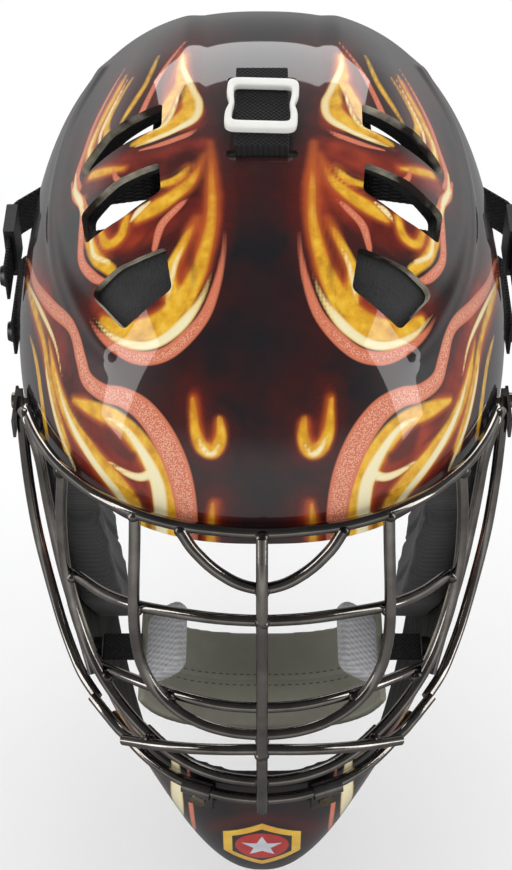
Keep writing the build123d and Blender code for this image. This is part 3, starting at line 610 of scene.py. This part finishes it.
def thick_fan():
    """Closed shell between the outer and the inner form, before any opening is cut."""
    outer, inner = fan_surface(0.0), fan_surface(SHELL_THICKNESS)
    flat = outer.reshape(-1, 3)
    across = np.gradient(outer, axis=1).reshape(-1, 3)
    along = np.gradient(outer, axis=0).reshape(-1, 3)
    normal = np.cross(along, across)
    normal /= np.linalg.norm(normal, axis=1)[:, None]
    groove = np.exp(-((np.maximum(strokes_distance(flat, GROOVE_STROKES), 0) / GROOVE_REACH) ** 2))
    shift = normal * (crest_rise(flat) - GROOVE_DEPTH * groove)[:, None]
    outer = (flat + shift).reshape(outer.shape)
    rows, columns = outer.shape[:2]
    points = np.concatenate([outer.reshape(-1, 3), inner.reshape(-1, 3)]) * MM
    below = rows * columns
    faces = []
    for r in range(rows - 1):
        for c in range(columns - 1):
            a, b = r * columns + c, (r + 1) * columns + c
            faces.append((a, a + 1, b + 1, b))
            faces.append((below + a, below + b, below + b + 1, below + a + 1))
    for c in range(columns - 1):
        a, b = c, (rows - 1) * columns + c
        faces += [(a, below + a, below + a + 1, a + 1), (b, b + 1, below + b + 1, below + b)]
    for r in range(rows - 1):
        a, b = r * columns, r * columns + columns - 1
        faces += [(a, a + columns, below + a + columns, below + a), (b, below + b, below + b + columns, b + columns)]
    piece = new_mesh("painted_shell", points, faces)
    work = bmesh.new()
    work.from_mesh(piece.data)
    bmesh.ops.recalc_face_normals(work, faces=work.faces)
    work.to_mesh(piece.data)
    work.free()
    return piece, outer.reshape(-1, 3) * MM, faces_of_grid(rows, columns)


def faces_of_grid(rows, columns):
    """Faces of the outer grid alone."""
    return [
        (r * columns + c, r * columns + c + 1, (r + 1) * columns + c + 1, (r + 1) * columns + c)
        for r in range(rows - 1)
        for c in range(columns - 1)
    ]


OUTER_PAINT, INNER_RESIN, RAW_EDGE = 0, 1, 2
WALL_NEAR, WALL_DEEP = 0.35, 2.6


def make_shell():
    """The visible shell: cut from the fan, with its paint fields stored on the vertices."""
    piece, outer_points, outer_faces = thick_fan()
    keep, cuts = shell_cutters()
    apply_modifier(piece, "BOOLEAN", operation="INTERSECT", object=keep, solver="MANIFOLD")
    for cut in cuts:
        apply_modifier(piece, "BOOLEAN", operation="DIFFERENCE", object=cut, solver="MANIFOLD")
    for cutter in (keep, *cuts):
        bpy.data.objects.remove(cutter)
    mesh = piece.data
    points = np.zeros(len(mesh.vertices) * 3)
    mesh.vertices.foreach_get("co", points)
    points = points.reshape(-1, 3) / MM
    fields = {"red": RED_STROKES, "gold": YELLOW_STROKES, "salmon": SALMON_STROKES, "cream": CREAM_STROKES, "dark": DARK_STROKES}
    for name, strokes in fields.items():
        values = strokes_distance(points, strokes)
        mesh.attributes.new(name, "FLOAT", "POINT").data.foreach_set("value", values.astype(np.float32))
    tree = BVHTree.FromPolygons([Vector(p) for p in outer_points], outer_faces)
    kinds = []
    for polygon in mesh.polygons:
        depth = tree.find_nearest(polygon.center)[3] / MM
        kinds.append(OUTER_PAINT if depth < WALL_NEAR else INNER_RESIN if depth > WALL_DEEP else RAW_EDGE)
    return piece, kinds, tree


# ---------------------------------------------------------------- paint
def flame_paint():
    """Airbrushed flames on a black coat under clear lacquer, with a fine halftone at the borders."""
    s = Shader("flame_paint")
    wander = s.math("MULTIPLY", s.math("SUBTRACT", s.noise(55.0, 3.0), 0.5), 2.6)
    cloud = s.noise(28.0, 4.0)
    fine = s.noise(160.0, 3.0)
    red = s.math("ADD", s.attribute("red"), wander)
    gold = s.math("ADD", s.attribute("gold"), s.math("MULTIPLY", wander, 0.4))
    salmon = s.attribute("salmon")
    cream = s.math("ADD", s.attribute("cream"), s.math("MULTIPLY", wander, 0.15))
    dark = s.math("ADD", s.attribute("dark"), s.math("MULTIPLY", wander, 0.3))
    dots = s.step(s.cells(1500.0), 0.3, 0.55)

    black = s.mix(cloud, (0.006, 0.006, 0.008), (0.02, 0.018, 0.02))
    glow = s.math("MULTIPLY", s.step(red, 32.0, 2.0), s.step(cloud, 0.38, 0.62))
    maroon = s.mix(fine, (0.035, 0.004, 0.003), (0.085, 0.009, 0.006))
    coat = s.mix(s.math("MULTIPLY", glow, 0.85), black, maroon)
    halo = s.math("MULTIPLY", s.step(red, 8.0, 0.0), s.math("SUBTRACT", 0.8, s.math("MULTIPLY", dots, 0.5)))
    coat = s.mix(halo, coat, (0.12, 0.012, 0.007))
    body = s.ramp(cloud, [(0.34, (0.05, 0.006, 0.005)), (0.5, (0.20, 0.018, 0.009)), (0.66, (0.38, 0.05, 0.014))])
    coat = s.mix(s.step(red, 2.0, -3.0), coat, body)
    warm = s.mix(s.step(gold, 3.5, 0.5), body, (0.50, 0.11, 0.014))
    coat = s.mix(s.math("MULTIPLY", s.step(gold, 4.0, 0.5), s.step(red, 3.0, 0.0)), coat, warm)
    amber = s.ramp(fine, [(0.3, (0.55, 0.25, 0.012)), (0.55, (0.78, 0.42, 0.025)), (0.75, (0.86, 0.56, 0.07))])
    coat = s.mix(s.step(gold, 0.9, -0.5), coat, amber)
    coat = s.mix(s.math("MULTIPLY", s.step(dark, 0.6, -1.4), 0.85), coat, (0.10, 0.016, 0.01))
    fringe = s.mix(dots, (0.80, 0.42, 0.27), (0.60, 0.17, 0.10))
    band = s.mix(s.step(salmon, -0.2, -1.8), (0.62, 0.17, 0.09), fringe)
    coat = s.mix(s.step(salmon, 0.5, -0.15), coat, band)
    pale = s.mix(s.step(cream, -0.1, -1.0), (0.84, 0.62, 0.24), (0.87, 0.78, 0.5))
    coat = s.mix(s.step(cream, 0.45, -0.3), coat, pale)
    s.set(Base_Color=coat, Roughness=0.42)
    s.surface.inputs["Specular IOR Level"].default_value = 0.15
    s.surface.inputs["Coat Weight"].default_value = 1.0
    s.surface.inputs["Coat Roughness"].default_value = 0.035
    s.bump(s.noise(240.0, 2.0), 0.05, 0.0004)
    return s.material


def resin():
    """Unpainted composite inside: dark woven cloth under resin."""
    return weave("inner_resin", (0.018, 0.017, 0.016), (0.05, 0.048, 0.045), 0.003, ("X", "Z"), 0.25, 0.0, 0.2)


def raw_edge():
    """Cut edge of the composite: pale resin with overspray and layers."""
    s = Shader("raw_edge")
    layers = s.noise(420.0, 4.0)
    overspray = s.noise(38.0, 4.0)
    tone = s.mix(layers, (0.42, 0.38, 0.28), (0.62, 0.58, 0.46))
    s.set(Base_Color=s.mix(s.step(overspray, 0.38, 0.55), tone, (0.03, 0.018, 0.015)), Roughness=0.55)
    s.bump(layers, 0.3, 0.0004)
    return s.material


shell_piece, shell_kinds, SHELL_TREE = make_shell()
shell_piece.data.materials.clear()
for material in (flame_paint(), resin(), raw_edge()):
    shell_piece.data.materials.append(material)
shell_piece.data.polygons.foreach_set("material_index", shell_kinds)
smooth_faces(shell_piece, 38.0)
finish(shell_piece, "root", None, ["mask_shell"])


# ---------------------------------------------------------------- plain badge on the chin
BADGE_Z = 35.0
BADGE_ROWS = 12
BADGE_LIFT = 0.05
STAR_INNER = 0.42


def spokes(count, radius, inner=1.0, turn=90.0):
    """Corners of a polygon, or of a star where every other corner lies further in."""
    return [
        (radius * (inner if i % 2 else 1) * math.cos(math.radians(turn) + 2 * math.pi * i / count),
         radius * (inner if i % 2 else 1) * math.sin(math.radians(turn) + 2 * math.pi * i / count))
        for i in range(count)
    ]


def decal(name, corners, lift, material):
    """Flat outline laid on the chin's outer face."""
    rim = []
    for a, b in zip(corners, corners[1:] + corners[:1]):
        rim += [Vector(a).lerp(Vector(b), t) for t in np.linspace(0, 1, 8, endpoint=False)]
    points = []
    for row in range(BADGE_ROWS + 1):
        for corner in rim:
            x, z = corner * (row / BADGE_ROWS)
            hit, normal, _, _ = SHELL_TREE.ray_cast(Vector((x, -300, BADGE_Z + z)) * MM, Vector((0, 1, 0)))
            outward = normal if normal.y < 0 else -normal
            points.append(hit + outward * lift * MM)
    count = len(rim)
    faces = [
        (r * count + c, r * count + (c + 1) % count, (r + 1) * count + (c + 1) % count, (r + 1) * count + c)
        for r in range(BADGE_ROWS)
        for c in range(count)
    ]
    return finish(new_mesh(name, points, faces), "root", material)


def enamel(name, colour, shade):
    """Badge colour under the clear coat."""
    s = Shader(name)
    s.set(Base_Color=s.mix(s.step(s.noise(90.0, 3.0), 0.35, 0.7), colour, shade), Roughness=0.32)
    s.surface.inputs["Coat Weight"].default_value = 1.0
    s.surface.inputs["Coat Roughness"].default_value = 0.035
    s.bump(s.noise(240.0, 2.0), 0.05, 0.0004)
    return s.material


GOLD_ENAMEL = enamel("badge_gold", (0.80, 0.50, 0.04), (0.62, 0.30, 0.02))
BLACK_ENAMEL = enamel("badge_black", (0.008, 0.008, 0.009), (0.02, 0.018, 0.02))
RED_ENAMEL = enamel("badge_red", (0.50, 0.02, 0.015), (0.32, 0.012, 0.01))
SILVER_ENAMEL = enamel("badge_silver", (0.62, 0.64, 0.68), (0.45, 0.47, 0.52))
decal("badge_edge", spokes(6, 21.0), BADGE_LIFT, BLACK_ENAMEL)
decal("badge_field", spokes(6, 20.2), 2 * BADGE_LIFT, GOLD_ENAMEL)
decal("badge_inner", spokes(6, 15.5), 3 * BADGE_LIFT, BLACK_ENAMEL)
decal("badge_disc", spokes(24, 12.2), 4 * BADGE_LIFT, RED_ENAMEL)
decal("badge_star", spokes(10, 9.6, STAR_INNER), 5 * BADGE_LIFT, SILVER_ENAMEL)


# ---------------------------------------------------------------- cage
CHROME = metal("black_nickel", (0.34, 0.315, 0.29), (0.20, 0.185, 0.17), 0.08)
WELD = metal("weld_metal", (0.22, 0.20, 0.19), (0.07, 0.065, 0.06), 0.22, 1400.0)
STEEL = metal("clip_steel", (0.30, 0.285, 0.27), (0.14, 0.13, 0.12), 0.2)
SCREW = metal("screw_steel", (0.55, 0.50, 0.40), (0.24, 0.17, 0.10), 0.28)
WELD_REACH = 0.0009
WELD_APART = 0.012
WELD_RADIUS = 0.0031


def crossings(node_a, node_b):
    """Middles of the places where two wires touch."""
    other = NODES[node_b].data
    tree = BVHTree.FromPolygons([v.co for v in other.vertices], [p.vertices for p in other.polygons])
    groups = []
    for vertex in NODES[node_a].data.vertices:
        found, _, _, gap = tree.find_nearest(vertex.co, WELD_REACH)
        if found is None:
            continue
        home = next((g for g in groups if (g[0] - found).length < WELD_APART), None)
        if home is None:
            groups.append([found.copy()])
        else:
            home.append(found.copy())
    return [sum(g, Vector()) / len(g) for g in groups]


def make_welds():
    """Small uneven beads where the wires cross."""
    work = bmesh.new()
    for node_a, node_b in RECORD["behaviour"]["press_fits"]:
        if not (node_a.startswith("cage_") and node_b.startswith("cage_")):
            continue
        for middle in crossings(node_a, node_b):
            made = bmesh.ops.create_icosphere(work, subdivisions=3, radius=WELD_RADIUS)
            phase = random.random() * 6
            for vertex in made["verts"]:
                swell = 1 + 0.08 * math.sin(900 * vertex.co.x + phase) * math.cos(1100 * vertex.co.z)
                vertex.co = vertex.co * swell + middle
    mesh = bpy.data.meshes.new("weld_beads")
    work.to_mesh(mesh)
    work.free()
    piece = bpy.data.objects.new("weld_beads", mesh)
    bpy.context.scene.collection.objects.link(piece)
    smooth_faces(piece, 60)
    finish(piece, "root", WELD)


for node, cad in NODES.items():
    if node.startswith("cage_"):
        paint(cad, CHROME)
    elif node.startswith(("chin_clip", "side_clip")):
        paint(cad, STEEL)
make_welds()


# ---------------------------------------------------------------- foam, pads and fabric
FOAM = foam("liner_foam", (0.012, 0.012, 0.013), (0.035, 0.035, 0.037))
DARK_FABRIC = weave("jaw_fabric", (0.035, 0.034, 0.034), (0.085, 0.083, 0.082), 0.0009, ("Y", "Z"), 0.35, 0.3, 0.35)
TERRY = foam("sweatband_terry", (0.02, 0.02, 0.022), (0.07, 0.07, 0.075), 1500.0)


def softened(node, name, voxel, rounds, swell=0.0):
    """Soft form from a CAD solid: remeshed, its edges rounded off, then swollen back to size."""
    piece = copy_of(node, name)
    apply_modifier(piece, "REMESH", mode="VOXEL", voxel_size=voxel, use_smooth_shade=True)
    apply_modifier(piece, "SMOOTH", factor=0.6, iterations=rounds)
    if swell:
        normals = [v.normal.copy() for v in piece.data.vertices]
        for vertex, normal in zip(piece.data.vertices, normals):
            vertex.co += normal * swell
    apply_modifier(piece, "SUBSURF", levels=1)
    smooth_faces(piece, 180)
    return piece


def sew(piece, axis, places, width, depth):
    """Sewn channels: the surface pulled in along planes across one axis, in millimetres."""
    normals = [v.normal.copy() for v in piece.data.vertices]
    for vertex, normal in zip(piece.data.vertices, normals):
        gap = min(abs(vertex.co[axis] / MM - place) for place in places) / width
        if gap < 1:
            vertex.co -= normal * depth * MM * (1 - gap * gap) ** 2
    piece.data.update()


def stitches(name, line, tree, body, material, spacing=3.2, length=1.9, radius=0.28):
    """Row of thread stitches on a surface, under the points of a line in millimetres."""
    work = bmesh.new()
    fine = smooth_line(line, 24)
    travelled = np.concatenate([[0], np.cumsum(np.linalg.norm(np.diff(fine, axis=0), axis=1))])
    for start in np.arange(0, travelled[-1] - length, spacing):
        ends = [
            Vector([np.interp(at, travelled, fine[:, k]) for k in range(3)]) * MM
            for at in (start, start + length)
        ]
        seats = [tree.find_nearest(end)[0] for end in ends]
        run = seats[1] - seats[0]
        turn = run.to_track_quat("Z", "Y").to_matrix().to_4x4()
        stretch = Matrix.Diagonal((radius * MM, radius * MM, run.length / 2, 1))
        place = Matrix.Translation((seats[0] + seats[1]) / 2) @ turn @ stretch
        bmesh.ops.create_uvsphere(work, u_segments=8, v_segments=6, radius=1.0, matrix=place)
    mesh = bpy.data.meshes.new(name)
    work.to_mesh(mesh)
    work.free()
    piece = bpy.data.objects.new(name, mesh)
    bpy.context.scene.collection.objects.link(piece)
    smooth_faces(piece, 180)
    return finish(piece, body, material)


def tree_of(piece):
    """Search tree over a piece's surface."""
    mesh = piece.data
    return BVHTree.FromPolygons([v.co for v in mesh.vertices], [p.vertices for p in mesh.polygons])


LINERS = ("crown_liner", "brow_pad", "chin_liner", "temple_liner_left", "temple_liner_right")
VENT_FOAM_SHIFT, VENT_FOAM_GROW = 6.0, 1.12
OPEN_VENTS = VENTS[:2]


def open_foam(piece):
    """Cut the foam back behind the upper vents, so that light comes through them."""
    for hand, _ in HANDS:
        for vent in OPEN_VENTS:
            corners = [
                (x * VENT_FOAM_GROW, hand * (y * VENT_FOAM_GROW + VENT_FOAM_SHIFT)) for x, y in vent["corners"]
            ]
            cut = prism("cut", rounded(corners, VENT_CORNER), -VENT_DEPTH, VENT_DEPTH, vent_place(vent, hand))
            apply_modifier(piece, "BOOLEAN", operation="DIFFERENCE", object=cut, solver="MANIFOLD")
            bpy.data.objects.remove(cut)
    smooth_faces(piece, 50)


for node in LINERS:
    liner = softened(node, f"soft_{node}", 0.0022, 3)
    if node == "crown_liner":
        open_foam(liner)
    finish(liner, "root", FOAM, [node])
finish(softened("sweatband", "soft_sweatband", 0.0012, 2), "root", TERRY, ["sweatband"])
JAW_SEAMS_Y = (-30.0, -9.0, 10.0)
BACK_SEAMS_Z = (165.0, 200.0, 235.0)
CUP_SEAM_Y = -72.0
for _, side in HANDS:
    pad = softened(f"jaw_pad_{side}", f"soft_jaw_pad_{side}", 0.0025, 6, 0.0006)
    sew(pad, 1, JAW_SEAMS_Y, 3.2, 1.5)
    finish(pad, "root", DARK_FABRIC, [f"jaw_pad_{side}"])
back_pad = softened("back_pad", "soft_back_pad", 0.0025, 5, 0.0004)
sew(back_pad, 2, BACK_SEAMS_Z, 5.0, 2.0)
finish(back_pad, "back_plate_assembly", DARK_FABRIC, ["back_pad"])


# ---------------------------------------------------------------- chin sling
OLIVE = plastic("cup_vinyl", (0.33, 0.325, 0.26), (0.42, 0.41, 0.34), 0.5, 0.5)
AIR_MESH = weave("air_mesh", (0.42, 0.42, 0.44), (0.74, 0.74, 0.76), 0.0032, ("Y", "Z"), 0.9, 0.4, 0.1)
WEBBING = weave("black_webbing", (0.004, 0.004, 0.004), (0.016, 0.016, 0.017), 0.0022, ("X", "Y"), 0.8, 0.05, 0.1)
SIDE_WEBBING = weave("black_elastic", (0.004, 0.004, 0.004), (0.02, 0.02, 0.021), 0.0022, ("Z", "Y"), 0.8, 0.05, 0.15)
THREAD = plastic("sewing_thread", (0.10, 0.095, 0.075), (0.22, 0.21, 0.17), 0.6)
cup = softened("chin_cup", "soft_chin_cup", 0.0012, 3, 0.0003)
sew(cup, 1, (CUP_SEAM_Y,), 2.0, 0.7)
sew(cup, 0, (0.0,), 1.8, 0.7)
finish(cup, "chin_sling", OLIVE, ["chin_cup"])
cup_tree = tree_of(cup)
for offset in (-3.0, 3.0):
    row = [(x, CUP_SEAM_Y + offset, 72.5 + 0.0055 * x * x) for x in (-44, -22, 0, 22, 44)]
    stitches("cup_stitches", row, cup_tree, "chin_sling", THREAD)
for _, side in HANDS:
    pad = softened(f"chin_cup_pad_{side}", f"soft_cup_pad_{side}", 0.0012, 6, 0.0006)
    finish(pad, "chin_sling", AIR_MESH, [f"chin_cup_pad_{side}"])


# ---------------------------------------------------------------- carried-over CAD pieces
PLATE = plastic("plate_plastic", (0.010, 0.009, 0.010), (0.03, 0.028, 0.03), 0.25)
WHITE = plastic("buckle_plastic", (0.80, 0.80, 0.76), (0.62, 0.60, 0.54), 0.33, 0.35)
BLACK_PLASTIC = plastic("slider_plastic", (0.012, 0.012, 0.012), (0.04, 0.04, 0.04), 0.45)
STUD = metal("stud_metal", (0.12, 0.115, 0.11), (0.03, 0.03, 0.03), 0.3)
def rounded_ring(count, half_x, half_y, power, pinch=0.0, tilt=0.0):
    """Loop of points round a rounded rectangle whose sides may be pinched in."""
    loop = []
    for a in np.linspace(0, 2 * math.pi, count, endpoint=False):
        cosine, sine = math.cos(a), math.sin(a)
        size = (abs(cosine / half_x) ** power + abs(sine / half_y) ** power) ** (-1 / power)
        x, y = size * cosine, size * sine
        x *= 1 - pinch * math.exp(-((y / 4.2) ** 2))
        loop.append((x, y))
    return loop


def make_buckle():
    """White slider buckle with pinched sides, rounded over its edges."""
    low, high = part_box("crown_buckle")
    middle = (low + high) / 2
    half_x, half_y = (high.x - low.x) / 2 / MM, (high.y - low.y) / 2 / MM
    count = 96
    outer = rounded_ring(count, half_x, half_y, 9, 0.09)
    inner = rounded_ring(count, 12.0, 12.2, 12, 0.05)
    turn = math.radians(-2.5)
    points = []
    for z in (low.z, high.z):
        for loop in (outer, inner):
            for x, y in loop:
                at = Vector((x * math.cos(turn) - y * math.sin(turn), x * math.sin(turn) + y * math.cos(turn), 0)) * MM
                points.append((middle.x + at.x, middle.y + at.y, z))
    faces = []
    for i in range(count):
        j = (i + 1) % count
        faces.append((i, count + i, count + j, j))
        faces.append((2 * count + i, 2 * count + j, 3 * count + j, 3 * count + i))
        faces.append((i, j, 2 * count + j, 2 * count + i))
        faces.append((count + i, 3 * count + i, 3 * count + j, count + j))
    piece = new_mesh("buckle_loop", points, faces)
    apply_modifier(piece, "BEVEL", width=0.9 * MM, segments=4, limit_method="ANGLE", angle_limit=math.radians(50))
    smooth_faces(piece, 30)
    finish(piece, "crown_buckle_body", WHITE, ["crown_buckle"])


def strap_piece(node, body, material, voxel=0.0006):
    """Webbing with rounded edges from its CAD solid."""
    piece = copy_of(node, f"woven_{node}")
    apply_modifier(piece, "REMESH", mode="VOXEL", voxel_size=voxel, use_smooth_shade=True)
    apply_modifier(piece, "SMOOTH", factor=0.5, iterations=2)
    smooth_faces(piece, 180)
    return finish(piece, body, material, [node])


make_buckle()
strap_piece("crown_strap", "root", WEBBING)
plate_strap = strap_piece("plate_strap", None, WEBBING)
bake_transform(plate_strap)
for hand, side in HANDS:
    for kind, z in (("side", 0.203), ("lower", 0.168)):
        strap = strap_piece(f"{kind}_strap_{side}", None, SIDE_WEBBING, 0.0007)
        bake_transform(strap)
    strap_piece(f"chin_strap_{side}", "chin_sling", WEBBING)

for node, cad in NODES.items():
    if node in ("back_plate",):
        paint(cad, PLATE)
    elif node.startswith("strap_slider"):
        paint(cad, BLACK_PLASTIC)
    elif node in ("strap_snaps", "chin_snaps"):
        paint(cad, STUD)
    elif node in ("clip_screws", "clip_nuts", "chin_rivets"):
        paint(cad, SCREW)


# ---------------------------------------------------------------- floor, light and camera
FLOOR_DROP = 0.10
floor_level = CAD_BOX[0].z - FLOOR_DROP
floor = new_mesh("floor", [(-6, -6, floor_level), (6, -6, floor_level), (6, 6, floor_level), (-6, 6, floor_level)], [(0, 1, 2, 3)])
floor.visible_glossy = False
floor_shader = Shader("floor_paper")
floor_shader.set(Base_Color=floor_shader.mix(floor_shader.noise(3.0), (0.86, 0.86, 0.86), (0.9, 0.9, 0.9)), Roughness=0.9)
paint(floor, floor_shader.material)

world = bpy.data.worlds.new("studio")
bpy.context.scene.world = world
world.use_nodes = True
sky = world.node_tree.nodes.new("ShaderNodeTexCoord")
split = world.node_tree.nodes.new("ShaderNodeSeparateXYZ")
fade = world.node_tree.nodes.new("ShaderNodeValToRGB")
half = world.node_tree.nodes.new("ShaderNodeMath")
half.operation = "MULTIPLY_ADD"
half.inputs[1].default_value = 0.5
half.inputs[2].default_value = 0.5
fade.color_ramp.elements[0].color = (0.20, 0.20, 0.205, 1)
fade.color_ramp.elements[1].color = (0.07, 0.07, 0.075, 1)
for position, tone in ((0.36, 0.42), (0.50, 0.85), (0.56, 0.75), (0.66, 0.16)):
    stop = fade.color_ramp.elements.new(position)
    stop.color = (tone, tone, tone, 1)
world.node_tree.links.new(sky.outputs["Generated"], split.inputs[0])
world.node_tree.links.new(split.outputs["Z"], half.inputs[0])
world.node_tree.links.new(half.outputs[0], fade.inputs["Fac"])
world.node_tree.links.new(fade.outputs["Color"], world.node_tree.nodes["Background"].inputs["Color"])
world.node_tree.nodes["Background"].inputs["Strength"].default_value = 0.9

TARGET = Vector((0, -0.011, 0.172))


def softbox(name, place, size, power, aim=TARGET, mirrored=True):
    data = bpy.data.lights.new(name, "AREA")
    data.shape = "RECTANGLE"
    data.size, data.size_y = size
    data.energy = power
    light = bpy.data.objects.new(name, data)
    light.location = place
    light.rotation_mode = "QUATERNION"
    light.rotation_quaternion = (Vector(aim) - Vector(place)).to_track_quat("-Z", "Y")
    light.visible_glossy = mirrored
    bpy.context.scene.collection.objects.link(light)


softbox("left_box", (-1.5, -0.5, 0.75), (0.5, 1.6), 9)
softbox("right_box", (1.5, -0.5, 0.75), (0.5, 1.6), 9)
sun_data = bpy.data.lights.new("sky_fill", "SUN")
sun_data.energy = 2.1
sun_data.angle = math.radians(70)
sun = bpy.data.objects.new("sky_fill", sun_data)
sun.rotation_euler = (math.radians(-18), 0, 0)
sun.visible_glossy = False
bpy.context.scene.collection.objects.link(sun)
softbox("front_fill", (0.0, -1.8, 0.7), (1.2, 0.8), 9, mirrored=False)
softbox("rear_box", (0.0, 1.5, 1.0), (1.6, 0.4), 7)

CAMERA_ELEVATION, CAMERA_DISTANCE = 46.0, 0.830
LENS, SENSOR = 76.8, 36.0
SHIFT_X = -6.0 / 870
eye = math.radians(CAMERA_ELEVATION)
camera_data = bpy.data.cameras.new("camera")
camera_data.sensor_fit = "VERTICAL"
camera_data.sensor_height = SENSOR
camera_data.lens = LENS
camera_data.shift_x = SHIFT_X
camera = bpy.data.objects.new("camera", camera_data)
camera.location = TARGET + CAMERA_DISTANCE * Vector((0, -math.cos(eye), math.sin(eye)))
camera.rotation_euler = (math.pi / 2 - eye, 0, 0)
bpy.context.scene.collection.objects.link(camera)
bpy.context.scene.camera = camera
bpy.context.scene.view_settings.view_transform = "Standard"
